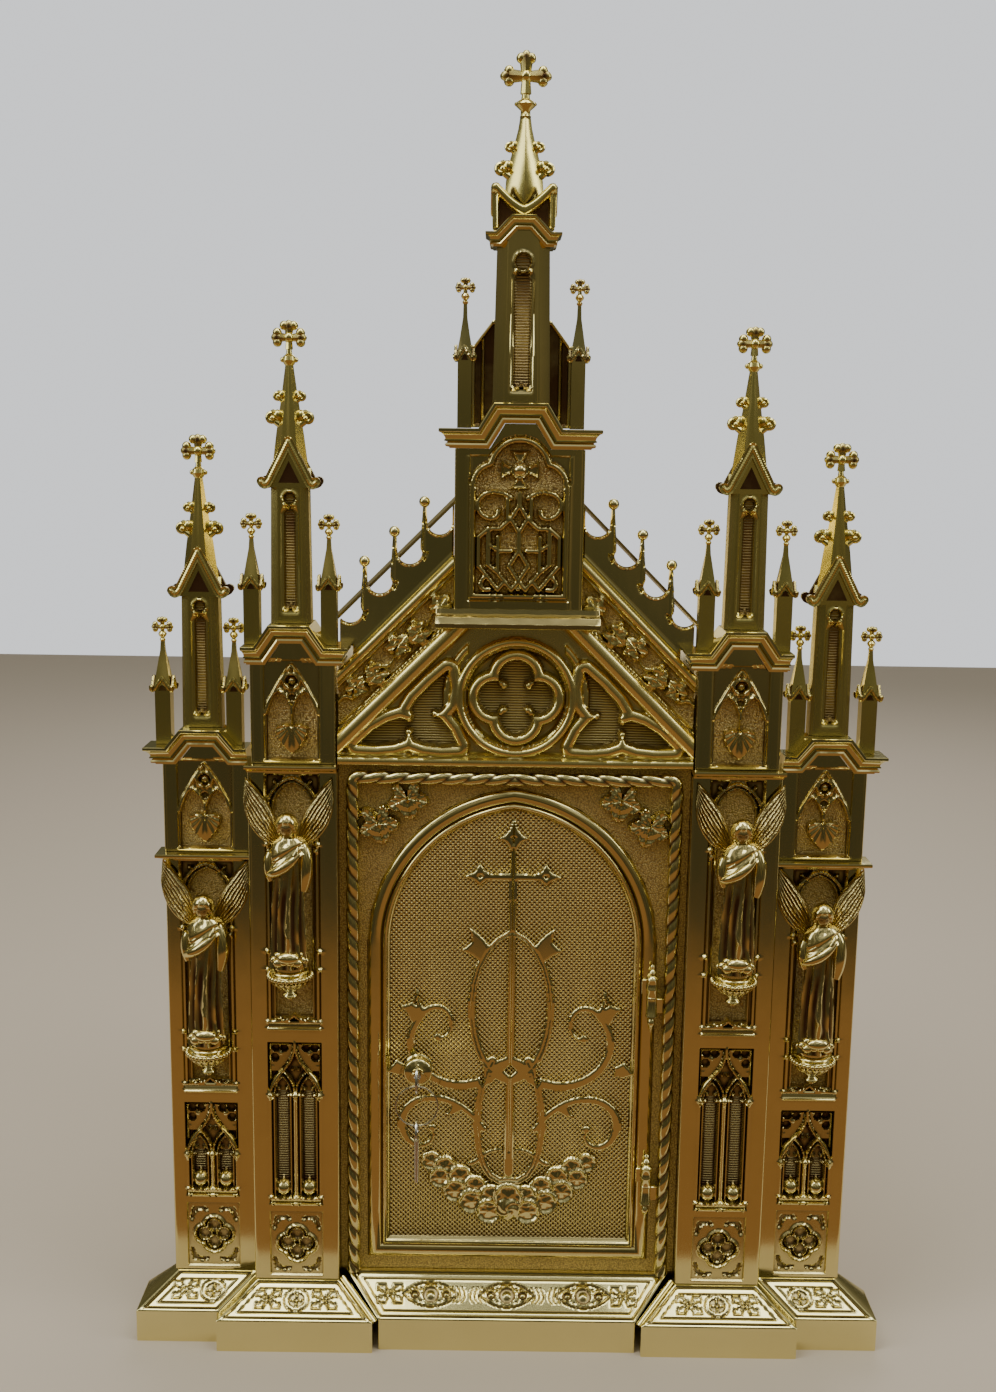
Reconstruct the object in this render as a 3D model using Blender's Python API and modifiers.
"""Gothic altar tabernacle in cast and sheet brass.

A shallow cast front (plinth, four pilasters with angels, gable and tower) stands before a
sheet-brass cabinet with a gabled roof.  One pointed door, hinged on the right, closes it.

Frame: metres, +Z up, the front faces -Y and +X is the viewer's right.  The origin lies
under the middle of the bounding box, on the surface that the tabernacle stands on.
"""
import math

import bmesh
import bpy
from mathutils import Matrix, Vector
from mathutils.geometry import delaunay_2d_cdt

# ---------------------------------------------------------------- driving dimensions
GAP = 0.0003                      # clearance between touching pieces
TOTAL_DEPTH = 0.330
FRONT = -TOTAL_DEPTH / 2          # front edge of the inner plinth blocks
BACK = TOTAL_DEPTH / 2
FACE_INNER = FRONT + 0.028        # faces of the inner pilasters
FACE_OUTER = FRONT + 0.040        # faces of the outer pilasters and of the door surround
FACE_GABLE = FRONT + 0.036
FACE_TOWER = FRONT + 0.027
CASTING_BACK = FRONT + 0.054      # back of the cast front

# plinth: a low fascia with a weathered slope above it
FASCIA = 0.0255
SLOPE = 0.70                      # rise of the weathering for each metre of run
RUN_SIDE = 0.028                  # run of the inner and outer blocks
RUN_CENTRE = 0.033
OUTER_END = 0.290                 # half of the overall width
OUTER_START = 0.2260
INNER_END = 0.2253
INNER_START = 0.1043
CENTRE_HALF = 0.0998

# pilasters (distances from the axis)
INNER_LOW, INNER_HIGH = 0.1325, 0.1990
INNER_UP_LOW, INNER_UP_HIGH = 0.1335, 0.1960   # above the string course
OUTER_LOW, OUTER_HIGH = 0.1995, 0.2645
PANEL_HALF = 0.0205
INNER_PANEL, OUTER_PANEL = 0.1660, 0.2335      # centres of the panels
INNER_AXIS, OUTER_AXIS = 0.1655, 0.2342        # centres of the spires
PANEL_DEPTH = 0.0015
GROUND_DEPTH = 0.0065

# heights on the pilasters
QUATREFOIL_TOP = 0.1025
TRACERY_BOTTOM = 0.1095
OUTER_TRACERY_TOP, INNER_TRACERY_TOP = 0.187, 0.243
OUTER_NICHE, INNER_NICHE = (0.201, 0.384), (0.258, 0.4545)
OUTER_STRING, INNER_STRING = 0.3880, 0.4600
OUTER_WING, OUTER_MID = 0.4730, 0.4865
INNER_WING, INNER_MID = 0.5510, 0.5670
CORNICE_DROP = 0.0140
CORNICE_REACH = 0.0120
MID_HALF = 0.0150
MID_RUN = 0.0110

# gable and tower
RAKE = 0.6638                     # height plus distance from the axis along the rake
CREST_LINE = 0.6900
ROOF_LINE = 0.7040
GABLE_BOTTOM = 0.4613
BAY_HALF = 0.1322
TOWER_HALF = 0.0466
SILL_BOTTOM, SILL_TOP = 0.5670, 0.5800
SILL_HALF = 0.0595
TOWER_WING, TOWER_MID = 0.7090, 0.7270
TURRET_WING, TURRET_MID = 0.8420, 0.8510
TOP = 0.9660

# cabinet
CABINET_HALF = 0.1900
SHEET = 0.0030
ROOF_SHEET = 0.0020
ROOF_EAVE = 0.1970

# door
DOOR_HALF = 0.1103
DOOR_BOTTOM = 0.0600
DOOR_SPRING = 0.3200
DOOR_RADIUS = 0.1240
DOOR_FACE = FRONT + 0.0370
DOOR_BACK = FRONT + 0.0455
DOOR_FIELD = 0.0028               # depth of the field below the border
HINGE_X = 0.1075
HINGE_Y = FRONT + 0.0322
HINGE_RADIUS = 0.0044
HINGE_HEIGHTS = (0.1265, 0.2820)  # the joints between the two knuckles of each hinge
LOCK_X, LOCK_Z = -0.0710, 0.2210
KEY_RING_RADIUS = 0.0160

# angels
ANGEL_FEET = {"inner": 0.3180, "outer": 0.2507}
SIDES = {"left": -1, "right": 1}


# ---------------------------------------------------------------- scene and materials
for thing in list(bpy.data.objects):
    bpy.data.objects.remove(thing, do_unlink=True)

PART = bpy.data.collections.new("Altar_Tabernacle")
TOOLS = bpy.data.collections.new("Cutters")
bpy.context.scene.collection.children.link(PART)
bpy.context.scene.collection.children.link(TOOLS)


def metal(name, colour, roughness):
    """A plain metallic Principled material."""
    material = bpy.data.materials.new(name)
    material.use_nodes = True
    shader = material.node_tree.nodes["Principled BSDF"]
    shader.inputs["Base Color"].default_value = (*colour, 1.0)
    shader.inputs["Metallic"].default_value = 1.0
    shader.inputs["Roughness"].default_value = roughness
    return material


POLISHED = metal("Polished brass", (0.80, 0.57, 0.20), 0.18)
ANTIQUED = metal("Antiqued brass", (0.55, 0.36, 0.12), 0.38)
SHEET_BRASS = metal("Sheet brass", (0.74, 0.54, 0.22), 0.30)
STEEL = metal("Nickelled steel", (0.72, 0.71, 0.68), 0.22)


def body_empty(name, place):
    """The empty that carries a body's pieces."""
    empty = bpy.data.objects.new(name, None)
    empty.location = place
    PART.objects.link(empty)
    bpy.context.view_layer.update()
    return empty


CABINET = body_empty("cabinet_frame", (0, 0, 0))
DOOR = body_empty("door_frame", (HINGE_X, HINGE_Y, DOOR_BOTTOM))


def put(name, mesh, material, parent=CABINET, place=(0, 0, 0)):
    """Give a mesh its named object, at a place in the world."""
    if not mesh.materials:
        mesh.materials.append(material)
    thing = bpy.data.objects.new(name, mesh)
    PART.objects.link(thing)
    thing.parent = parent
    thing.matrix_parent_inverse = parent.matrix_world.inverted()
    thing.location = place
    return thing


# ---------------------------------------------------------------- mesh helpers
def to_mesh(bm, name="piece"):
    """Close a bmesh into a mesh whose faces point out."""
    bmesh.ops.remove_doubles(bm, verts=bm.verts, dist=1e-6)
    bmesh.ops.recalc_face_normals(bm, faces=bm.faces)
    mesh = bpy.data.meshes.new(name)
    bm.to_mesh(mesh)
    bm.free()
    return mesh


def box(low, high):
    """An upright box between two corners."""
    bm = bmesh.new()
    size = [b - a for a, b in zip(low, high)]
    middle = [(a + b) / 2 for a, b in zip(low, high)]
    bmesh.ops.create_cube(bm, size=1, matrix=Matrix.Translation(middle) @ Matrix.Diagonal((*size, 1)))
    return to_mesh(bm)


def ball(centre, radius, columns=6, rows=4, stretch=(1, 1, 1)):
    """A small faceted ball, turned a little so that no edge lies along another's."""
    bm = bmesh.new()
    turn = Matrix.Rotation(0.19, 4, "Z") @ Matrix.Rotation(0.07, 4, "X")
    place = Matrix.Translation(centre) @ Matrix.Diagonal((*stretch, 1)) @ turn
    bmesh.ops.create_uvsphere(bm, u_segments=columns, v_segments=rows, radius=radius, matrix=place)
    return to_mesh(bm)


def rod(start, end, radius_start, radius_end, sides=6):
    """A tapered round bar between two points."""
    bm = bmesh.new()
    start, end = Vector(start), Vector(end)
    along = end - start
    turn = along.to_track_quat("Z", "Y").to_matrix().to_4x4() @ Matrix.Rotation(0.35, 4, "Z")
    bmesh.ops.create_cone(bm, cap_ends=True, segments=sides, radius1=radius_start, radius2=radius_end,
                          depth=along.length, matrix=Matrix.Translation((start + end) / 2) @ turn)
    return to_mesh(bm)


def loft(rings):
    """Skin a list of rings of points and cap both ends; a ring of one point is a tip."""
    bm = bmesh.new()
    levels = [[bm.verts.new(point) for point in ring] for ring in rings]
    for a, b in zip(levels, levels[1:]):
        count = max(len(a), len(b))
        for i in range(count):
            j = (i + 1) % count
            corners = [a[i % len(a)], a[j % len(a)], b[j % len(b)], b[i % len(b)]]
            bm.faces.new(list(dict.fromkeys(corners)))
    for cap in (levels[0], levels[-1]):
        if len(cap) > 2:
            bm.faces.new(cap)
    return to_mesh(bm)


def turned(profile, steps):
    """A turned solid about the Z axis: (radius, height) points from top to bottom."""
    mesh = bpy.data.meshes.new("profile")
    mesh.from_pydata([(r, 0, z) for r, z in profile], [(i, i + 1) for i in range(len(profile) - 1)], [])
    thing = bpy.data.objects.new("profile", mesh)
    TOOLS.objects.link(thing)
    screw = thing.modifiers.new("turn", "SCREW")
    screw.axis = "Z"
    screw.steps = screw.render_steps = steps
    screw.use_merge_vertices = True
    screw.merge_threshold = 1e-5
    return baked(thing)


def baked(thing, extra=()):
    """The evaluated mesh of a scratch object, which is then removed with its tools."""
    bpy.context.view_layer.update()
    graph = bpy.context.evaluated_depsgraph_get()
    mesh = bpy.data.meshes.new_from_object(thing.evaluated_get(graph))
    mesh.transform(thing.matrix_world)
    for used in [thing, *extra]:
        bpy.data.objects.remove(used, do_unlink=True)
    bm = bmesh.new()
    bm.from_mesh(mesh)
    return to_mesh(simpler(bm))


def fused(meshes, operation="UNION"):
    """Join closed meshes that overlap into one closed mesh, or cut the rest from the first."""
    base = bpy.data.objects.new("base", meshes[0])
    TOOLS.objects.link(base)
    tools = []
    for mesh in meshes[1:]:
        tool = bpy.data.objects.new("tool", mesh)
        TOOLS.objects.link(tool)
        boolean = base.modifiers.new("boolean", "BOOLEAN")
        boolean.operation = operation
        boolean.object = tool
        tools.append(tool)
    return baked(base, tools)


def moved(mesh, x=0.0, y=0.0, z=0.0):
    """A copy of a mesh, shifted."""
    copy = mesh.copy()
    copy.transform(Matrix.Translation((x, y, z)))
    return copy


def plate(outlines, front, back):
    """A flat slab over the union of closed (x, z) outlines."""
    points, faces = [], []
    for outline in outlines:
        area = sum(a[0] * b[1] - b[0] * a[1] for a, b in zip(outline, [*outline[1:], outline[0]]))
        outline = outline if area > 0 else outline[::-1]
        faces.append(list(range(len(points), len(points) + len(outline))))
        points += [Vector(point) for point in outline]
    flat, _, triangles, _, _, sources = delaunay_2d_cdt(points, [], faces, 1, 1e-7)
    triangles = [triangle for triangle, source in zip(triangles, sources) if source]
    bm = bmesh.new()
    fore = [bm.verts.new((p.x, front, p.y)) for p in flat]
    rear = [bm.verts.new((p.x, back, p.y)) for p in flat]
    directed = {(t[i], t[(i + 1) % 3]) for t in triangles for i in range(3)}
    for triangle in triangles:
        bm.faces.new([fore[i] for i in triangle])
        bm.faces.new([rear[i] for i in reversed(triangle)])
    for a, b in sorted(directed):
        if (b, a) not in directed:
            bm.faces.new((fore[a], fore[b], rear[b], rear[a]))
    loose = [v for v in bm.verts if not v.link_faces]
    bmesh.ops.delete(bm, geom=loose, context="VERTS")
    return to_mesh(simpler(bm))


def simpler(bm):
    """Drop the edges and corners that lie within flat faces and along straight edges."""
    bmesh.ops.recalc_face_normals(bm, faces=bm.faces)
    bmesh.ops.dissolve_limit(bm, angle_limit=0.01, verts=bm.verts, edges=bm.edges)
    bmesh.ops.triangulate(bm, faces=bm.faces)
    return bm


def within(point, loop):
    """True where a point lies inside a loop of vertices, seen from the front."""
    inside = False
    for a, b in zip(loop, [*loop[1:], loop[0]]):
        if (a.co.z > point.y) != (b.co.z > point.y):
            crossing = a.co.x + (point.y - a.co.z) * (b.co.x - a.co.x) / (b.co.z - a.co.z)
            if point.x < crossing:
                inside = not inside
    return inside


def relief(outline, features, face, back):
    """A panel carved in steps, closed at the back.

    A feature is (steps, inside): steps is a list of (outline, depth) with equal numbers of
    points, from the rim inwards, and inside lists the features on the last step's floor.
    The rim lies at the level of what surrounds it.  Depths count back from the face.
    """
    bm = bmesh.new()

    def ring(loop, depth):
        return [bm.verts.new((x, face + depth, z)) for x, z in loop]

    def strip(a, b):
        for i in range(len(a)):
            j = (i + 1) % len(a)
            bm.faces.new((a[i], a[j], b[j], b[i]))

    def fill(rim, holes):
        verts, edges = [], []
        for loop in (rim, *holes):
            first = len(verts)
            verts += loop
            edges += [(first + i, first + (i + 1) % len(loop)) for i in range(len(loop))]
        points = [Vector((v.co.x, v.co.z)) for v in verts]
        flat, _, triangles, origin = delaunay_2d_cdt(points, edges, [], 0, 1e-9)[:4]
        for triangle in triangles:
            middle = sum((flat[i] for i in triangle), Vector((0, 0))) / 3
            if within(middle, rim) and not any(within(middle, hole) for hole in holes):
                bm.faces.new([verts[origin[i][0]] for i in triangle])

    def carve(rim, depth, children):
        holes = []
        for steps, inside in children:
            edge = ring(steps[0][0], depth)
            holes.append(edge)
            for loop, level in steps:
                if loop is steps[0][0] and level == depth:
                    continue
                lower = ring(loop, level)
                strip(edge, lower)
                edge = lower
            carve(edge, steps[-1][1], inside)
        fill(rim, holes)

    front_rim = ring(outline, 0.0)
    back_rim = ring(outline, back - face)
    strip(front_rim, back_rim)
    fill(back_rim, [])
    carve(front_rim, 0.0, features)
    return to_mesh(bm)


# ---------------------------------------------------------------- outlines in (x, z)
def rectangle(x0, x1, z0, z1):
    return [(x0, z0), (x1, z0), (x1, z1), (x0, z1)]


def circle(cx, cz, radius, steps):
    return [(cx + radius * math.cos(2 * math.pi * i / steps), cz + radius * math.sin(2 * math.pi * i / steps))
            for i in range(steps)]


def pointed_arch(cx, half, bottom, spring, rise, steps=4):
    """A two-centred arch on straight jambs."""
    radius = (half ** 2 + rise ** 2) / (2 * half)
    sweep = math.atan2(rise, radius - half)
    right = [(half - radius + radius * math.cos(sweep * i / steps), spring + radius * math.sin(sweep * i / steps))
             for i in range(steps + 1)]
    left = [(-x, z) for x, z in reversed(right[:-1])]
    return [(cx + x, z) for x, z in [(-half, bottom), (half, bottom), *right, *left]]


def foil(cx, cz, lobes, offset, radius, steps, turn=0.0):
    """A foiled opening: equal lobes round a centre, meeting in cusps."""
    beta = math.pi / lobes
    cusp = offset * math.cos(beta) + math.sqrt(radius ** 2 - (offset * math.sin(beta)) ** 2)
    spread = math.atan2(cusp * math.sin(beta), cusp * math.cos(beta) - offset)
    points = []
    for lobe in range(lobes):
        axis = turn + 2 * math.pi * lobe / lobes
        for i in range(steps):
            angle = axis - spread + 2 * spread * i / steps
            points.append((cx + offset * math.cos(axis) + radius * math.cos(angle),
                           cz + offset * math.sin(axis) + radius * math.sin(angle)))
    return points


def mirrored(loop):
    return [(-x, z) for x, z in reversed(loop)]


def sunk(loop, depth, inside=()):
    """A feature with upright walls."""
    return ([(loop, depth)], list(inside))


def ribbon(points, widths):
    """The outline of a band that follows a list of (x, z) points with a width at each."""
    left, right = [], []
    for i, (x, z) in enumerate(points):
        x0, z0 = points[max(i - 1, 0)]
        x1, z1 = points[min(i + 1, len(points) - 1)]
        length = math.hypot(x1 - x0, z1 - z0)
        nx, nz = -(z1 - z0) / length * widths[i] / 2, (x1 - x0) / length * widths[i] / 2
        left.append((x + nx, z + nz))
        right.append((x - nx, z - nz))
    return left + right[::-1]


def bezier(p0, p1, p2, p3, steps):
    """Points along a cubic curve."""
    points = []
    for i in range(steps + 1):
        t = i / steps
        a, b, c, d = (1 - t) ** 3, 3 * t * (1 - t) ** 2, 3 * t * t * (1 - t), t ** 3
        points.append(tuple(a * p0[k] + b * p1[k] + c * p2[k] + d * p3[k] for k in (0, 1)))
    return points


def leaf(cx, cz, length, width, turn):
    """A three-lobed vine leaf about its centre, with its tip towards the turn (radians)."""
    half = [(-0.42, 0.0), (-0.36, 0.46), (-0.04, 0.28), (0.14, 0.40), (0.50, 0.0)]
    loop = half + [(x, -z) for x, z in reversed(half[1:-1])]
    c, s = math.cos(turn), math.sin(turn)
    return [(cx + c * x * length - s * z * width, cz + s * x * length + c * z * width) for x, z in loop]


# ---------------------------------------------------------------- plinth
def plinth_block(name, low, high, front, run, low_shift, high_shift):
    """A block with an upright fascia and a weathered slope; the ends lean by the shifts."""
    top = FASCIA + SLOPE * run

    def ring(x0, x1, y0, z):
        return [(x0, y0, z), (x1, y0, z), (x1, CASTING_BACK, z), (x0, CASTING_BACK, z)]

    mesh = loft([ring(low, high, front, 0.0), ring(low, high, front, FASCIA),
                 ring(low + low_shift, high + high_shift, front + run, top)])
    put(name, mesh, POLISHED)


def build_plinth():
    plinth_block("plinth_centre", -CENTRE_HALF, CENTRE_HALF, FRONT + 0.005, RUN_CENTRE,
                 -RUN_SIDE, RUN_SIDE)
    for side, s in SIDES.items():
        ends = sorted([s * INNER_START, s * INNER_END])
        shifts = (RUN_SIDE, -RUN_SIDE)
        plinth_block(f"plinth_inner_{side}", *ends, FRONT, RUN_SIDE, *shifts)
        ends = sorted([s * OUTER_START, s * OUTER_END])
        shifts = (-RUN_SIDE, -RUN_SIDE) if s > 0 else (RUN_SIDE, RUN_SIDE)
        plinth_block(f"plinth_outer_{side}", *ends, FRONT + 0.012, RUN_SIDE, *shifts)


# ---------------------------------------------------------------- pilasters
def quatrefoil_panel(cx, bottom, top):
    """A sunk square panel with a quatrefoil."""
    cz = (bottom + top) / 2
    features = [sunk(foil(cx, cz, 4, 0.0072, 0.0074, 3), 0.0045)]
    return sunk(rectangle(cx - PANEL_HALF, cx + PANEL_HALF, bottom, top), PANEL_DEPTH, features)


def tracery_panel(cx, bottom, top):
    """Two lancet lights under an ogee, with a light in each upper corner."""
    spring = top - 0.043
    features = []
    for s in (-1, 1):
        light = cx + s * 0.0100
        features.append(sunk(pointed_arch(light, 0.0070, bottom + 0.008, spring, 0.0155, 2), 0.0060))
        corner = [(0.0040, top - 0.0035), (0.0185, top - 0.0035), (0.0185, top - 0.0330), (0.0090, top - 0.0140)]
        features.append(sunk([(cx + s * x, z) for x, z in corner], 0.0050))
    return sunk(rectangle(cx - PANEL_HALF, cx + PANEL_HALF, bottom, top), PANEL_DEPTH, features)


def niche(cx, bottom, top):
    """The angel's niche: a pointed recess in a sunk panel."""
    arch = pointed_arch(cx, 0.0190, bottom + 0.0015, top - 0.026, 0.0235, 3)
    features = [sunk(arch, GROUND_DEPTH)]
    for s in (-1, 1):
        spandrel = [(cx + s * 0.0070, top - 0.0018), (cx + s * 0.0190, top - 0.0018),
                    (cx + s * 0.0190, top - 0.0170)]
        features.append(sunk(spandrel, 0.0040))
    return sunk(rectangle(cx - PANEL_HALF, cx + PANEL_HALF, bottom, top), PANEL_DEPTH, features)


def leaf_panel(cx, bottom, top):
    """Twin pointed heads over one field, with a hanging leaf and a roundel above."""
    spring = top - 0.034
    heads = pointed_arch(0.0, 0.0090, bottom, spring, 0.017, 2)[2:]
    right = [(cx + 0.0098 + x, z) for x, z in heads]
    left = [(cx - 0.0098 + x, z) for x, z in heads]
    base = bottom + 0.0015
    field = [(cx - 0.0188, base), (cx + 0.0188, base), *right, (cx, spring - 0.006), *left]
    hanging = sunk(leaf(cx, bottom + 0.0136, 0.0210, 0.0200, -math.pi / 2), 0.0012)
    features = [sunk(field, 0.0050, [hanging]),
                sunk(circle(cx, top - 0.0100, 0.0062, 6), 0.0040)]
    return sunk(rectangle(cx - PANEL_HALF, cx + PANEL_HALF, bottom, top), PANEL_DEPTH, features)


def cornice_break(centre, low_z, high_z, half, drop):
    """The four bends of a cornice that steps up over its middle, lowered squarely by a drop."""
    shift = drop * math.tan(math.atan2(high_z - low_z, MID_RUN) / 2)
    outer, inner = half + MID_RUN - shift, half - shift
    return [(centre - outer, low_z - drop), (centre - inner, high_z - drop),
            (centre + inner, high_z - drop), (centre + outer, low_z - drop)]


def build_pilasters():
    for side, s in SIDES.items():
        # the outer pilaster
        rise = cornice_break(OUTER_AXIS, OUTER_WING, OUTER_MID, MID_HALF, CORNICE_DROP + GAP)
        bottom = FASCIA + SLOPE * RUN_SIDE + GAP
        loop = [(OUTER_LOW, bottom), (OUTER_HIGH, bottom), (OUTER_HIGH, rise[-1][1]), *rise[::-1],
                (OUTER_LOW, rise[0][1])]
        features = [quatrefoil_panel(OUTER_PANEL, bottom + 0.003, QUATREFOIL_TOP),
                    tracery_panel(OUTER_PANEL, TRACERY_BOTTOM, OUTER_TRACERY_TOP),
                    niche(OUTER_PANEL, *OUTER_NICHE),
                    leaf_panel(OUTER_PANEL, OUTER_STRING + 0.006, OUTER_WING - 0.0155)]
        shelf = box((OUTER_LOW, FACE_OUTER - 0.008, OUTER_STRING - 0.0020),
                    (OUTER_HIGH + 0.006, FACE_OUTER + 0.005, OUTER_STRING + 0.0020))
        pilaster(f"pilaster_outer_{side}", s, loop, features, FACE_OUTER, shelf)
        # the inner pilaster, narrower above its string course
        rise = cornice_break(INNER_AXIS, INNER_WING, INNER_MID, MID_HALF, CORNICE_DROP + GAP)
        loop = [(INNER_LOW, bottom), (INNER_HIGH, bottom), (INNER_HIGH, INNER_STRING),
                (INNER_UP_HIGH, INNER_STRING), (INNER_UP_HIGH, rise[-1][1]), *rise[::-1],
                (INNER_UP_LOW, rise[0][1]), (INNER_UP_LOW, INNER_STRING), (INNER_LOW, INNER_STRING)]
        features = [quatrefoil_panel(INNER_PANEL, bottom + 0.003, QUATREFOIL_TOP),
                    tracery_panel(INNER_PANEL, TRACERY_BOTTOM, INNER_TRACERY_TOP),
                    niche(INNER_PANEL, *INNER_NICHE),
                    leaf_panel(INNER_AXIS, INNER_STRING + 0.0065, INNER_WING - 0.0155)]
        shelf = box((INNER_LOW, FACE_INNER - 0.007, INNER_STRING - 0.0020),
                    (INNER_HIGH + 0.0015, FACE_INNER + 0.005, INNER_STRING + 0.0020))
        pilaster(f"pilaster_inner_{side}", s, loop, features, FACE_INNER, shelf)


def pilaster(name, s, loop, features, face, shelf):
    """Carve one pilaster, join its shelf to it, and turn it over for the left side."""
    mesh = fused([relief(loop, features, face, CASTING_BACK), shelf])
    put(name, flipped(mesh) if s < 0 else mesh, ANTIQUED)


def flipped(mesh):
    """A mesh mirrored across the axis plane, with its faces pointing out again."""
    bm = bmesh.new()
    bm.from_mesh(mesh)
    bmesh.ops.scale(bm, vec=(-1, 1, 1), verts=bm.verts)
    return to_mesh(bm)


def cornice(low, high, reach_low, reach_high, axis, half, levels, face, back=CASTING_BACK,
            reach=CORNICE_REACH, drop=CORNICE_DROP):
    """A moulded cornice that steps up over its middle and returns along its two ends."""
    profile = [(1.0, 0.0), (1.0, 0.22), (0.55, 0.57), (0.35, 0.68), (0.35, 1.0)]
    bm = bmesh.new()
    rings = []
    for out, down in profile:
        y, z_wing = face - out * reach, levels[0] - down * drop
        x0, x1 = low - out * reach_low, high + out * reach_high
        bends = cornice_break(axis, *levels, half, down * drop)
        path = [(x0, back, z_wing), (x0, y, z_wing), *[(x, y, z) for x, z in bends],
                (x1, y, z_wing), (x1, back, z_wing)]
        rings.append([bm.verts.new(point) for point in path])
    for a, b in zip(rings, rings[1:]):
        for i in range(len(a) - 1):
            bm.faces.new((a[i], a[i + 1], b[i + 1], b[i]))
    rear = []
    for ring in (rings[0], rings[-1]):
        line = [ring[0], *[bm.verts.new((v.co.x, back, v.co.z)) for v in ring[2:6]], ring[7]]
        for i in range(5):
            corners = [ring[i + 1], ring[i + 2], line[i + 1], line[i]]
            bm.faces.new(list(dict.fromkeys(corners)))
        rear.append(line)
    ends = [[ring[k] for ring in rings[1:-1]] for k in (0, 7)]
    bm.faces.new(rear[0] + ends[1] + rear[1][::-1] + ends[0][::-1])
    bmesh.ops.triangulate(bm, faces=bm.faces)
    return to_mesh(bm)


def build_cornices():
    outer = cornice(OUTER_LOW + GAP, OUTER_HIGH, 0.0, CORNICE_REACH, OUTER_AXIS, MID_HALF,
                    (OUTER_WING, OUTER_MID), FACE_OUTER)
    inner = cornice(INNER_UP_LOW, INNER_UP_HIGH, 0.0108, 0.0050, INNER_AXIS, MID_HALF,
                    (INNER_WING, INNER_MID), FACE_INNER)
    for name, mesh in (("outer", outer), ("inner", inner)):
        put(f"cornice_{name}_right", mesh, POLISHED)
        put(f"cornice_{name}_left", flipped(mesh), POLISHED)


# ---------------------------------------------------------------- spires and pinnacles
SPIRE_HEIGHT = 0.2150
SHAFT_HEIGHT = 0.0980
SHAFT_DEPTH = 0.0150


def diamond(radius, z, depth=1.0):
    """A square ring with its corners on the axes."""
    return [(radius, 0, z), (0, -radius * depth, z), (-radius, 0, z), (0, radius * depth, z)]


def crossed_gables(half_x, half_y, bottom, apex):
    """Two crossing gabled roofs, as on a pinnacle's cap, about the Z axis."""
    across = [(-half_x, bottom), (half_x, bottom), (0, apex)]
    front = loft([[(x, y, z) for x, z in across] for y in (-half_y, half_y)])
    deep = [(-half_y, bottom), (half_y, bottom), (0, apex)]
    side = loft([[(x, y, z) for y, z in deep] for x in (-half_x, half_x)])
    return [front, side]


def main_spire():
    """A tapered shaft with a reeded recess, a cap of gablets, a crocketed spire and a finial.

    It stands on z = 0 with the middle of its shaft on the Z axis.
    """
    foot, head = 0.0147, 0.0134
    shaft = relief([(-foot, 0), (foot, 0), (head, SHAFT_HEIGHT), (-head, SHAFT_HEIGHT)],
                   [sunk(pointed_arch(0, 0.0056, 0.0105, 0.0780, 0.0060, 1), 0.0028),
                    sunk(circle(0, 0.0905, 0.0046, 6), 0.0025)],
                   -SHAFT_DEPTH / 2, SHAFT_DEPTH / 2)
    pieces = [shaft, *crossed_gables(0.0180, 0.0105, 0.0960, 0.1330)]
    pieces.append(loft([diamond(0.0125, 0.108, 0.7), diamond(0.0093, 0.142, 0.8), diamond(0.0026, 0.188)]))
    for s in (-1, 1):
        pieces.append(rod((s * 0.0050, 0, 0.1440), (s * 0.0120, 0, 0.1475), 0.0019, 0.0019, 4))
        pieces.append(bud((s * 0.0129, 0, 0.1475), 0.0047))
        pieces.append(rod((s * 0.0030, 0, 0.1600), (s * 0.0080, 0, 0.1625), 0.0015, 0.0015, 4))
        pieces.append(bud((s * 0.0086, 0, 0.1625), 0.0035))
    pieces.append(ball((0, 0, 0.1880), 0.0042, 6, 3))
    return fused([*pieces, *finial(SPIRE_HEIGHT, 0.0125, 0.0270)])


def bud(centre, radius):
    """A crocket's bud: an eight-sided lozenge."""
    return ball(centre, radius, 4, 2, (1, 0.9, 1))


def finial(top, arm, height):
    """A foliated cross in block: a level lozenge for the arms and an upright one."""
    middle = top - height * 0.55
    return [ball((0, 0, middle), arm, 4, 2, (1, 0.45, 0.36)),
            ball((0, 0, top - height / 2), height / 2, 4, 2, (0.40, 0.45, 1))]


def square(half, z_corner, z_middle):
    """A square ring of eight points whose side middles may stand higher than its corners."""
    return [(half, -half, z_corner), (half, 0, z_middle), (half, half, z_corner), (0, half, z_middle),
            (-half, half, z_corner), (-half, 0, z_middle), (-half, -half, z_corner), (0, -half, z_middle)]


def pinnacle(half, shaft, height):
    """A small pinnacle: square shaft, four gablets, a slim spire and a cross of lobes."""
    cap = half * 1.38
    body = loft([square(half, 0, 0), square(half, shaft, shaft + 0.004),
                 square(cap, shaft + 0.001, shaft + 0.010), square(half * 0.80, shaft + 0.007, shaft + 0.0125),
                 square(0.0012, height - 0.010, height - 0.010)])
    knop = ball((0, 0, height - 0.0130), 0.0032, 4, 2)
    return fused([body, knop, *finial(height, 0.0080, 0.0135)])


def seated(mesh, x, axis, wing, middle):
    """A pinnacle moved to its place, its foot cut to the top of the cornice below it."""
    inner, outer = MID_HALF + 0.0004, MID_HALF + MID_RUN + 0.0004
    outline = [(-outer, -0.02), (outer, -0.02), (outer, GAP), (inner, middle - wing + GAP),
               (-inner, middle - wing + GAP), (-outer, GAP)]
    seat = plate([[(axis + px, wing + pz) for px, pz in outline]], -0.02, 0.02)
    return fused([moved(mesh, x=x, z=wing + GAP), seat], "DIFFERENCE")


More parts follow.
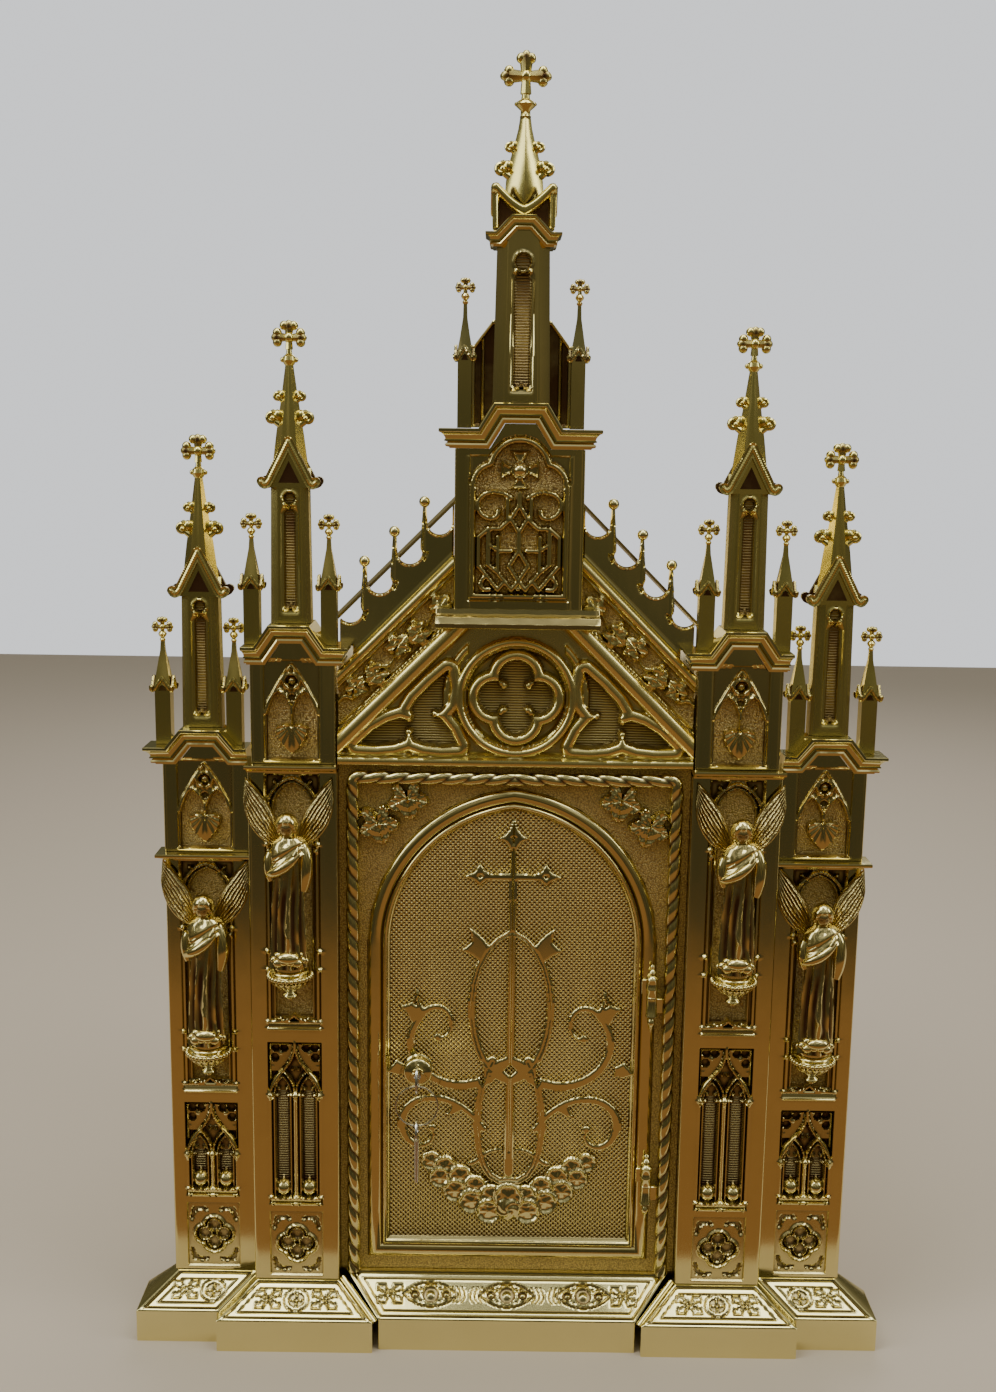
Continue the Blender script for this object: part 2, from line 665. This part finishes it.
def build_spires():
    spire = main_spire()
    small = pinnacle(0.0060, 0.0390, 0.0950)
    y_outer, y_inner = FACE_OUTER + 0.0075, FACE_INNER + 0.0080
    for side, s in SIDES.items():
        put(f"spire_outer_{side}", spire, POLISHED, place=(s * OUTER_AXIS, y_outer, OUTER_MID + GAP))
        put(f"spire_inner_{side}", spire, POLISHED, place=(s * INNER_AXIS, y_inner, INNER_MID + GAP))
    rows = (("outer_near", 0.2105, OUTER_AXIS, OUTER_WING, OUTER_MID, y_outer),
            ("outer_far", 0.2635, OUTER_AXIS, OUTER_WING, OUTER_MID, y_outer),
            ("inner_near", 0.1380, INNER_AXIS, INNER_WING, INNER_MID, y_inner),
            ("inner_far", 0.1945, INNER_AXIS, INNER_WING, INNER_MID, y_inner))
    for name, x, axis, wing, middle, y in rows:
        right = seated(small, x, axis, wing, middle)
        put(f"pinnacle_{name}_right", right, POLISHED, place=(0, y, 0))
        put(f"pinnacle_{name}_left", flipped(right), POLISHED, place=(0, y, 0))


# ---------------------------------------------------------------- gable, cresting and roof
def along_rake(line_low, line_high, x0, x1):
    """A strip of the right-hand rake between two lines of equal height plus distance."""
    return [(x0, line_low - x0), (x1, line_low - x1), (x1, line_high - x1), (x0, line_high - x0)]


def gable_field(line, bottom, top, wide):
    """The gable's field: a triangle cut short at its top and at both lower corners."""
    right = [(wide, bottom), (wide, line - wide), (line - top, top)]
    return [*right, *[(-x, z) for x, z in right[::-1]]]


def build_gable():
    """The gable panel: rakes with a vine between, and a framed field with a quatrefoil."""
    notch = TOWER_HALF + 0.0006
    bed = SILL_TOP - 0.0023
    loop = [(-BAY_HALF, GABLE_BOTTOM), (BAY_HALF, GABLE_BOTTOM), (BAY_HALF, RAKE - BAY_HALF),
            (notch, RAKE - notch), (notch, bed), (-notch, bed), (-notch, RAKE - notch),
            (-BAY_HALF, RAKE - BAY_HALF)]
    centre_z, ring = 0.5128, 0.0402
    field = 0.0030
    quatrefoil = ([(foil(0, centre_z, 4, 0.0160, 0.0172, 3), 0.0010),
                   (foil(0, centre_z, 4, 0.0155, 0.0122, 3), 0.0075)], [])
    medallion = ([(circle(0, centre_z, ring, 20), field), (circle(0, centre_z, ring - 0.0008, 20), -0.0015),
                  (circle(0, centre_z, ring - 0.0044, 20), 0.0042)], [quatrefoil])
    cusped = [(0.0420, 0.4770), (0.0700, 0.4795), (0.0790, 0.4850), (0.0880, 0.4790), (0.1130, 0.4770),
              (0.0860, 0.4970), (0.0700, 0.5120), (0.0475, 0.5300), (0.0500, 0.5100)]
    frame = [(gable_field(0.6130, 0.4690, 0.5660, 0.1310), 0.0),
             (gable_field(0.6105, 0.4700, 0.5653, 0.1300), -0.0040),
             (gable_field(0.6050, 0.4712, 0.5640, 0.1268), -0.0040),
             (gable_field(0.6010, 0.4720, 0.5630, 0.1250), field)]
    features = [(frame, [medallion, sunk(cusped, 0.0075), sunk(mirrored(cusped), 0.0075)])]
    string = rectangle(-BAY_HALF + GAP, BAY_HALF - GAP, GABLE_BOTTOM + GAP, 0.4675)
    features.append(sunk(string, -0.0060))
    for turn in (lambda strip: strip, mirrored):
        bead = along_rake(RAKE - 0.0075, RAKE - 0.0010, notch + 0.001, BAY_HALF - 0.001)
        features.append(sunk(turn(bead), -0.0030))
        sprigs = [sunk(turn(leaf(x, 0.6345 - x, 0.0240, 0.0165, 2.36)), 0.0008) for x in (0.080, 0.110)]
        band = along_rake(0.6185, 0.6520, notch + 0.003, BAY_HALF - 0.0025)
        features.append(sunk(turn(band), 0.0040, sprigs))
    put("gable", relief(loop, features, FACE_GABLE, CASTING_BACK), ANTIQUED)


def build_cresting():
    """Scalloped cresting along the rakes: ball-topped spikes between round scallops."""
    spacing, first, scallop = 0.0220, 0.0690, 0.0094
    spikes = [first + spacing * i for i in range(3)]
    ball_line = CREST_LINE + 0.0350
    low, end = RAKE + 0.0009, 0.1218
    top = [(TOWER_HALF + 0.0008, CREST_LINE - TOWER_HALF + 0.004)]
    for i in range(4):
        x = first - spacing / 2 + spacing * i
        floor = CREST_LINE - x
        start = 0 if i else 2
        arc = [(x - scallop * math.cos(math.pi * k / 4), floor + scallop * (1 - math.sin(math.pi * k / 4)))
               for k in range(start, 5)]
        if i:
            arc.insert(0, (x - scallop, CREST_LINE + 0.0335 - x + spacing / 2))
        if i < 3:
            arc.append((x + scallop, CREST_LINE + 0.0335 - x - spacing / 2))
        top += arc if i < 3 else [*arc[:3], (end, floor + 0.0003)]
    edge = [(TOWER_HALF + 0.0008, low - TOWER_HALF - 0.0008), (end, low - end)]
    outline = edge + top[::-1]
    heads = [circle(x, ball_line - x, 0.0042, 6) for x in spikes]
    right = plate([outline, *heads], FACE_GABLE + 0.0065, FACE_GABLE + 0.0125)
    put("cresting_right", right, POLISHED)
    put("cresting_left", flipped(right), POLISHED)


def build_roof():
    """Two thin roof slopes, open at both ends, resting on the cabinet's top edges."""
    y0, y1 = CASTING_BACK + 0.004, BACK
    for side, s in SIDES.items():
        thick = ROOF_SHEET * math.sqrt(2)
        section = [(s * GAP, ROOF_LINE - GAP), (s * ROOF_EAVE, ROOF_LINE - ROOF_EAVE),
                   (s * ROOF_EAVE, ROOF_LINE - ROOF_EAVE - thick), (s * GAP, ROOF_LINE - GAP - thick)]
        mesh = loft([[(x, y, z) for x, z in section] for y in (y0, y1)])
        put(f"roof_{side}", mesh, SHEET_BRASS)


# ---------------------------------------------------------------- tower
def build_tower():
    """The tower's panel stage with its sill, its cornice, the turret above and the spire."""
    rise = cornice_break(0, TOWER_WING, TOWER_MID, 0.0190, CORNICE_DROP + GAP)
    bed = SILL_TOP - 0.0020
    loop = [(-TOWER_HALF, bed), (TOWER_HALF, bed), (TOWER_HALF, rise[-1][1]), *rise[::-1],
            (-TOWER_HALF, rise[0][1])]
    disc = ([(circle(0, 0.6840, 0.0125, 8), 0.0050), (circle(0, 0.6840, 0.0115, 8), 0.0018)], [])
    scroll = [sunk(stroke, 0.0020) for stroke in tower_strapwork()]
    panel = ([(pointed_arch(0, 0.0375, 0.5840, 0.6600, 0.0430, 3), 0.0),
              (pointed_arch(0, 0.0350, 0.5865, 0.6600, 0.0408, 3), -0.0012),
              (pointed_arch(0, 0.0322, 0.5893, 0.6600, 0.0384, 3), 0.0050)], [disc, *scroll])
    stage = relief(loop, [panel], FACE_TOWER, CASTING_BACK)
    profile = [(-0.015, SILL_BOTTOM), (-0.015, SILL_BOTTOM + 0.005), (0.0, SILL_TOP), (0.0085, SILL_TOP),
               (0.0085, SILL_BOTTOM)]
    sill = loft([[(x, FACE_TOWER + y, z) for y, z in profile] for x in (-SILL_HALF, SILL_HALF)])
    put("tower_stage", fused([stage, sill]), ANTIQUED)
    put("tower_cornice", cornice(-TOWER_HALF, TOWER_HALF, 0.0114, 0.0114, 0, 0.0190,
                                 (TOWER_WING, TOWER_MID), FACE_TOWER), POLISHED)
    put("tower_turret", turret(), ANTIQUED)
    put("turret_cornice", cornice(-0.0182, 0.0182, 0.0085, 0.0085, 0, 0.0085, (TURRET_WING, TURRET_MID),
                                  FACE_INNER + 0.001, reach=0.0085, drop=0.0095,
                                  back=CASTING_BACK - 0.002), POLISHED)
    put("tower_spire", tower_spire(), POLISHED)


def tower_strapwork():
    """A generic scroll for the tower panel: a diamond, two C-scrolls and a base bar."""
    strokes = [[(0, 0.6230), (0.0060, 0.6340), (0, 0.6450), (-0.0060, 0.6340)]]
    width = [0.0022, 0.0040, 0.0038, 0.0022]
    upper = bezier((0.0070, 0.6560), (0.0300, 0.6760), (0.0300, 0.6350), (0.0120, 0.6480), 3)
    lower = bezier((0.0070, 0.6110), (0.0300, 0.5910), (0.0300, 0.6320), (0.0120, 0.6190), 3)
    for line in (upper, lower):
        band = ribbon(line, width)
        strokes += [band, mirrored(band)]
    return strokes


def turret():
    """The turret shaft with a reeded recess between two buttress pinnacles."""
    bottom, top = TOWER_MID + GAP, TURRET_WING - 0.0095 - GAP
    foot, head = 0.0204, 0.0184
    face, back = FACE_INNER + 0.001, CASTING_BACK - 0.002
    rise = cornice_break(0, TURRET_WING, TURRET_MID, 0.0085, 0.0095 + GAP)
    shaft = relief([(-foot, bottom), (foot, bottom), (head, top), *rise[::-1], (-head, top)],
                   [([(pointed_arch(0, 0.0094, bottom + 0.0105, 0.8060, 0.0080, 1), 0.0),
                      (pointed_arch(0, 0.0066, bottom + 0.0130, 0.8050, 0.0060, 1), 0.0040)], []),
                    sunk(circle(0, 0.8245, 0.0062, 6), 0.0035)], face, back)
    foot_z = TOWER_WING + GAP
    wing = [(0.0180, bottom + 0.003), (0.0180, 0.7850), (0.0206, 0.7828), (0.0340, 0.7672), (0.0375, 0.7672),
            (0.0375, foot_z), (0.0320, foot_z)]
    pieces = [shaft]
    side = relief(wing, [sunk([(0.0245, 0.7290), (0.0245, 0.7700), (0.0300, 0.7640), (0.0300, 0.7230)], 0.002)],
                  face + 0.0095, back)
    buttress = moved(pinnacle(0.0052, 0.0460, 0.1045), 0.0405, face + 0.0100, foot_z)
    pieces += [side, flipped(side), buttress, flipped(buttress)]
    return fused(pieces)


def tower_spire():
    """Horned gablets, a swelling faceted spire with crockets, a knop and a foliated cross."""
    middle = (FACE_INNER + CASTING_BACK) / 2
    bed = TURRET_MID + GAP
    horn = [(0.0075, bed), (0.0190, 0.8610), (0.0225, 0.8700), (0.0200, 0.8725), (0.0120, 0.8660), (0.0070, 0.8615)]
    gablets = plate([[*horn, *[(-x, z) for x, z in horn[::-1]]]], -0.0110, 0.0110)
    pieces = [gablets, loft([diamond(0.0112, 0.8560, 0.8), diamond(0.0127, 0.8775, 0.8), diamond(0.0090, 0.8980, 0.8),
                             diamond(0.0045, 0.9130), diamond(0.0031, 0.9350)])]
    for s in (-1, 1):
        pieces.append(rod((s * 0.0060, 0, 0.8835), (s * 0.0165, 0, 0.8885), 0.0022, 0.0022, 4))
        pieces.append(bud((s * 0.0168, 0, 0.8885), 0.0044))
        pieces.append(rod((s * 0.0030, 0, 0.8965), (s * 0.0110, 0, 0.9020), 0.0017, 0.0017, 4))
        pieces.append(bud((s * 0.0113, 0, 0.9025), 0.0034))
    pieces.append(ball((0, 0, 0.9310), 0.0070, 8, 2, (1, 0.8, 0.5)))
    cross_z = 0.9490
    arm = [(0.0020, -0.0020), (0.0080, -0.0018), (0.0092, -0.0052), (0.0140, -0.0044), (0.0178, 0.0),
           (0.0140, 0.0044), (0.0092, 0.0052), (0.0080, 0.0018)]
    right = [(x, cross_z + z) for x, z in arm]
    head = [(-z, cross_z + x * (TOP - cross_z) / 0.0178) for x, z in arm]
    left = [(-x, cross_z - z) for x, z in arm]
    outline = [*right, *head, *left, (-0.0022, 0.9310), (0.0022, 0.9310)]
    pieces.append(plate([outline], -0.0027, 0.0027))
    return moved(fused(pieces), y=middle)


# ---------------------------------------------------------------- cabinet and door surround
def door_arch(inset, steps=7):
    """The door's outline, drawn in by an inset all round."""
    half = DOOR_HALF - inset
    radius = DOOR_RADIUS - inset
    rise = math.sqrt(radius ** 2 - (DOOR_RADIUS - DOOR_HALF) ** 2)
    return pointed_arch(0, half, DOOR_BOTTOM + inset, DOOR_SPRING, rise, steps)


def framed(outline, opening, front, back):
    """A flat plate with one opening, drawn as a filled 2D curve."""
    curve = bpy.data.curves.new("plate", "CURVE")
    curve.dimensions = "2D"
    curve.fill_mode = "BOTH"
    curve.extrude = (back - front) / 2
    for loop in (outline, opening):
        spline = curve.splines.new("POLY")
        spline.points.add(len(loop) - 1)
        for point, (x, z) in zip(spline.points, loop):
            point.co = (x, z, 0, 1)
        spline.use_cyclic_u = True
    thing = bpy.data.objects.new("plate", curve)
    TOOLS.objects.link(thing)
    thing.matrix_world = Matrix.Translation((0, (front + back) / 2, 0)) @ Matrix.Rotation(math.pi / 2, 4, "X")
    return baked(thing)


def build_cabinet():
    """The sheet-brass box, hollow, with the doorway cut in its front wall."""
    top = ROOF_LINE - CABINET_HALF - ROOF_SHEET * math.sqrt(2) - GAP
    front = CASTING_BACK + GAP
    shell = put("cabinet_body", box((-CABINET_HALF, front, 0.0), (CABINET_HALF, BACK, top)), SHEET_BRASS)
    cavity = box((SHEET - CABINET_HALF, front + SHEET, SHEET), (CABINET_HALF - SHEET, BACK - SHEET, top - SHEET))
    doorway = plate([door_arch(0.006)], front - 0.004, front + SHEET + 0.004)
    for name, mesh in (("cavity", cavity), ("doorway", doorway)):
        cutter = bpy.data.objects.new(f"cutter_{name}", mesh)
        TOOLS.objects.link(cutter)
        cutter.hide_render = True
        cutter.display_type = "WIRE"
        cut = shell.modifiers.new(name, "BOOLEAN")
        cut.operation = "DIFFERENCE"
        cut.object = cutter
    bottom = FASCIA + SLOPE * RUN_CENTRE + GAP
    surround = framed(rectangle(-BAY_HALF, BAY_HALF, bottom, GABLE_BOTTOM - GAP), door_arch(-0.0007),
                      FACE_OUTER, CASTING_BACK)
    put("door_surround", surround, ANTIQUED)


def build_rope():
    """The twisted rope moulding round the door: a square section that turns as it goes."""
    x, foot, head = 0.1215, FASCIA + SLOPE * RUN_CENTRE + 0.001, 0.4515
    radius, y, pitch = 0.0050, FACE_OUTER - 0.0053, 0.0190
    side_steps = round((head - foot) / pitch)
    top_steps = round(2 * x / pitch)
    path = [(-x, foot + (head - foot) * i / side_steps) for i in range(side_steps)]
    path += [(-x + 2 * x * i / top_steps, head) for i in range(top_steps)]
    path += [(x, head - (head - foot) * i / side_steps) for i in range(side_steps + 1)]
    rings = []
    for i, (px, pz) in enumerate(path):
        before, after = path[max(i - 1, 0)], path[min(i + 1, len(path) - 1)]
        length = math.hypot(after[0] - before[0], after[1] - before[1])
        ox, oz = (after[1] - before[1]) / length, -(after[0] - before[0]) / length
        stretch = math.sqrt(2) if 0 < i < len(path) - 1 and abs(ox) > 0.1 and abs(oz) > 0.1 else 1.0
        ring = []
        for k in range(4):
            angle = math.pi / 2 * k + math.pi / 4 * i
            out = radius * math.cos(angle) * stretch
            ring.append((px + ox * out, y + radius * math.sin(angle), pz + oz * out))
        rings.append(ring)
    put("rope_moulding", loft(rings), POLISHED)


def build_leaf_sprays():
    """Two ivy leaves in each upper corner of the door surround."""
    for side, s in SIDES.items():
        leaves = [leaf(s * 0.1030, 0.4130, 0.0270, 0.0230, -math.pi / 2 - s * 0.2),
                  leaf(s * 0.0810, 0.4300, 0.0260, 0.0230, -math.pi / 2 - s * 0.9),
                  ribbon([(s * 0.1080, 0.4300), (s * 0.0960, 0.4330), (s * 0.0860, 0.4380)], [0.003] * 3),
                  ribbon([(s * 0.1080, 0.4300), (s * 0.1060, 0.4200)], [0.003] * 2)]
        put(f"ivy_spray_{side}", plate(leaves, FACE_OUTER - 0.0040, FACE_OUTER - GAP), POLISHED)


# ---------------------------------------------------------------- angels and corbels
def ellipse(rx, ry, cx, cy, z, count=10):
    """A horizontal ring; the first point is to the right."""
    return [(cx + rx * math.cos(2 * math.pi * i / count), cy - ry * math.sin(2 * math.pi * i / count), z)
            for i in range(count)]


def angel():
    """A robed angel with crossed arms and raised wings, its back on the plane y = 0."""
    robe = loft([ellipse(0.0125, 0.0085, 0.0, -0.0100, 0.0, 8), ellipse(0.0115, 0.0078, 0.0, -0.0102, 0.040, 8),
                 ellipse(0.0125, 0.0085, 0.0, -0.0105, 0.070, 8), ellipse(0.0132, 0.0084, 0.0, -0.0102, 0.090, 8),
                 ellipse(0.0060, 0.0050, 0.0, -0.0105, 0.0990, 8), ellipse(0.0030, 0.0030, 0.0, -0.0115, 0.1050, 8)])
    pieces = [robe, ball((0, -0.0125, 0.1075), 0.0064, 6, 4, (0.92, 1.02, 1.22))]
    for s in (-1, 1):
        pieces.append(rod((s * 0.0115, -0.0110, 0.0930), (s * 0.0142, -0.0125, 0.0500), 0.0038, 0.0030, 5))
        pieces.append(rod((s * 0.0140, -0.0140, 0.0730), (-s * 0.0050, -0.0195, 0.0840), 0.0040, 0.0026, 5))
    wing = [(0.0050, 0.0960), (0.0080, 0.1100), (0.0210, 0.1265), (0.0322, 0.1345), (0.0310, 0.1160),
            (0.0250, 0.0980), (0.0110, 0.0850)]
    across = [(-x, z) for x, z in wing[::-1]]
    return fused([*pieces, plate([[*wing, *across]], -0.0062, -0.0034)])


def corbel():
    """The round corbel under an angel: rim, bead ring, fluted bowl and knob, cut flat behind."""
    profile = [(0.0, 0.0), (0.0150, -0.0020), (0.0150, -0.0100), (0.0172, -0.0150), (0.0160, -0.0200),
               (0.0050, -0.0310), (0.0060, -0.0370), (0.0, -0.0410)]
    bowl = moved(turned(profile, 10), y=-0.0110)
    wall = box((-0.03, 0.0, -0.05), (0.03, 0.03, 0.01))
    return fused([bowl, wall], "DIFFERENCE")


def build_angels():
    figure, support = angel(), corbel()
    for side, s in SIDES.items():
        for place, x, face in (("inner", INNER_PANEL + 0.002, FACE_INNER), ("outer", OUTER_PANEL, FACE_OUTER)):
            y = face + GROUND_DEPTH - GAP
            feet = ANGEL_FEET[place]
            put(f"angel_{place}_{side}", figure, POLISHED, place=(s * x, y - 0.0060, feet))
            put(f"corbel_{place}_{side}", support, POLISHED, place=(s * x, y, feet - GAP))


# ---------------------------------------------------------------- door
def build_door():
    field = DOOR_FIELD
    steps = [(door_arch(0.0113), 0.0), (door_arch(0.0130), -0.0015), (door_arch(0.0150), -0.0015),
             (door_arch(0.0175), field)]
    put("door_leaf", relief(door_arch(0.0), [(steps, [])], DOOR_FACE, DOOR_BACK), ANTIQUED, DOOR)
    base = DOOR_FACE + field - GAP
    put("door_ornament", plate(strapwork(), base - 0.0022, base), POLISHED, DOOR)
    put("door_garland", garland(base), POLISHED, DOOR)


def strapwork():
    """A cross on a tall stem over a lyre of bands, with mirrored leaf scrolls at each side."""
    stem = 0.0032
    tip = [(stem, 0.3950), (0.0120, 0.4030), (0.0050, 0.4080), (0.0, 0.4180)]
    bands = [[(-stem, 0.1300), (stem, 0.1300), *tip, *[(-x, z) for x, z in reversed(tip[:-1])]]]
    arm = [(0.0, 0.3715), (0.0200, 0.3710), (0.0250, 0.3660), (0.0380, 0.3745), (0.0280, 0.3780),
           (0.0250, 0.3850), (0.0200, 0.3780), (0.0, 0.3775)]
    bands += [arm, mirrored(arm)]
    lyre = bezier((0.0, 0.3290), (0.0420, 0.3100), (0.0340, 0.2350), (0.0150, 0.2180), 4)
    foot = bezier((0.0150, 0.2220), (0.0300, 0.2000), (0.0300, 0.1180), (-0.0010, 0.1260), 4)
    scroll = bezier((0.0170, 0.2120), (0.0600, 0.1900), (0.0950, 0.2350), (0.0680, 0.2640), 5)
    curl = bezier((0.0690, 0.2640), (0.0480, 0.2820), (0.0370, 0.2480), (0.0560, 0.2440), 3)
    branch = bezier((0.0200, 0.1700), (0.0450, 0.2060), (0.0860, 0.1980), (0.0840, 0.1700), 4)
    hook = bezier((0.0840, 0.1710), (0.0800, 0.1480), (0.0560, 0.1530), (0.0600, 0.1690), 3)
    horn = [(0.0170, 0.3180), (0.0330, 0.3340), (0.0310, 0.3230), (0.0390, 0.3160), (0.0240, 0.3060)]
    thorn = [(0.0640, 0.2650), (0.0720, 0.2850), (0.0740, 0.2720), (0.0860, 0.2700), (0.0770, 0.2560)]
    spans = ((lyre, 0.0050, 0.0070), (foot, 0.0070, 0.0060), (scroll, 0.0080, 0.0060), (curl, 0.0060, 0.0030),
             (branch, 0.0055, 0.0070), (hook, 0.0070, 0.0035))
    for line, start, end in spans:
        count = len(line) - 1
        band = ribbon(line, [start + (end - start) * i / count for i in range(count + 1)])
        bands += [band, mirrored(band)]
    collar = [(-0.0210, 0.2180), (0.0, 0.2060), (0.0210, 0.2180), (0.0, 0.2300)]
    return [*bands, horn, mirrored(horn), thorn, mirrored(thorn), collar]


def garland(base):
    """A hanging garland of rounded leaves with a rose in its middle."""
    leaves = []
    for x, z, r in ((0.0130, 0.1050, 0.0125), (0.0310, 0.1155, 0.0120), (0.0500, 0.1310, 0.0135)):
        lobe = [(x + px, z + pz) for px, pz in circle(0, 0, r, 7)]
        leaves += [lobe, mirrored(lobe)]
    rose = ball((0, base - 0.0037, 0.1020), 0.0095, 8, 3, (1, 0.30, 1))
    return fused([plate(leaves, base - 0.0034, base), rose])


def build_hinges():
    """Two hinges; the upper knuckle of each rides on the door, the lower one is fixed."""
    r = HINGE_RADIUS
    top = [(0.0, 0.0270), (0.0022, 0.0250), (0.0016, 0.0220), (0.0030, 0.0190), (0.0020, 0.0170), (r, 0.0150),
           (r, GAP / 2), (0.0, GAP / 2)]
    knuckle = turned(top, 8)
    lower = [(0.0, -GAP / 2), (r, -GAP / 2), (r, -0.0150), (0.0020, -0.0170), (0.0030, -0.0200), (0.0, -0.0290)]
    socket = turned(lower, 8)
    strap_y = DOOR_FACE - HINGE_Y - GAP
    door_strap = box((-0.0078, 0.0018, 0.0020), (-0.0015, strap_y, 0.0135))
    fixed_strap = box((0.0015, 0.0018, -0.0135), (0.0090, strap_y, -0.0020))
    foot = box((0.0041, 0.0018, -0.0135), (0.0090, FACE_OUTER - HINGE_Y - GAP, -0.0020))
    moving, fixed = fused([knuckle, door_strap]), fused([socket, fixed_strap, foot])
    for name, z in zip(("lower", "upper"), HINGE_HEIGHTS):
        put(f"hinge_{name}_knuckle", moving, POLISHED, DOOR, (HINGE_X, HINGE_Y, z))
        put(f"hinge_{name}_socket", fixed, POLISHED, CABINET, (HINGE_X, HINGE_Y, z))


def key(bow_rows, shank, bit):
    """A key along +Y from its bow's centre: a flat bow in the YZ plane, shank and bit."""
    high, long = bow_rows
    count = 10
    outline = [(long * math.cos(2 * math.pi * i / count), high * math.sin(2 * math.pi * i / count))
               for i in range(count)]
    hole = [(x * 0.52, z * 0.52) for x, z in outline]
    bow = framed(outline, hole, -0.0012, 0.0012)
    bow.transform(Matrix.Rotation(-math.pi / 2, 4, "Z"))
    start = long * 0.80
    pieces = [bow, rod((0, start, 0), (0, start + shank, 0), 0.0020, 0.0020, 8)]
    if bit:
        pieces.append(box((-0.0009, start + shank - 0.0110, -0.0080), (0.0009, start + shank - 0.0020, 0.0)))
    return fused(pieces)


def build_lock():
    """The lock's round boss with its key in it, a split ring, and a spare key that hangs."""
    base = DOOR_FACE + DOOR_FIELD - GAP - 0.0025
    profile = [(0.0, 0.0), (0.0060, 0.0), (0.0100, -0.0020), (0.0112, -0.0035), (0.0112, -0.0145), (0.0, -0.0145)]
    boss = turned(profile, 16)
    boss.transform(Matrix.Rotation(math.pi / 2, 4, "X"))
    face_y = base - 0.0145
    put("lock_boss", boss, POLISHED, DOOR, (LOCK_X, face_y, LOCK_Z))
    high, long, shank = 0.0110, 0.0090, 0.0040
    bow_y = face_y - GAP - shank - long * 0.80
    put("key", key((high, long), shank, False), STEEL, DOOR, (LOCK_X, bow_y, LOCK_Z))
    bm = bmesh.new()
    wire, turns, sides = 0.0009, 16, 4
    rings = []
    for i in range(turns):
        a = 2 * math.pi * i / turns
        rings.append([bm.verts.new(((KEY_RING_RADIUS + wire * math.cos(b)) * math.sin(a), wire * math.sin(b),
                                    (KEY_RING_RADIUS + wire * math.cos(b)) * math.cos(a)))
                      for b in (2 * math.pi * k / sides for k in range(sides))])
    for i in range(turns):
        a, b = rings[i], rings[(i + 1) % turns]
        for k in range(sides):
            n = (k + 1) % sides
            bm.faces.new((a[k], a[n], b[n], b[k]))
    hole_low = high * 0.52 - wire - 2 * GAP
    ring_z = LOCK_Z - hole_low - KEY_RING_RADIUS
    put("key_ring", to_mesh(bm), STEEL, DOOR, (LOCK_X, bow_y, ring_z))
    spare = key((high, long), 0.0360, True)
    spare.transform(Matrix.Rotation(-math.pi / 2, 4, "X"))
    spare_z = ring_z - KEY_RING_RADIUS - long * 0.52 + wire + 2 * GAP
    put("spare_key", spare, STEEL, DOOR, (LOCK_X, bow_y, spare_z))


build_plinth()
build_pilasters()
build_cornices()
build_spires()
build_gable()
build_cresting()
build_roof()
build_tower()
build_cabinet()
build_rope()
build_leaf_sprays()
build_angels()
build_door()
build_hinges()
build_lock()

solids = [thing for thing in PART.objects if thing.type == "MESH"]
print("pieces:", len(solids))
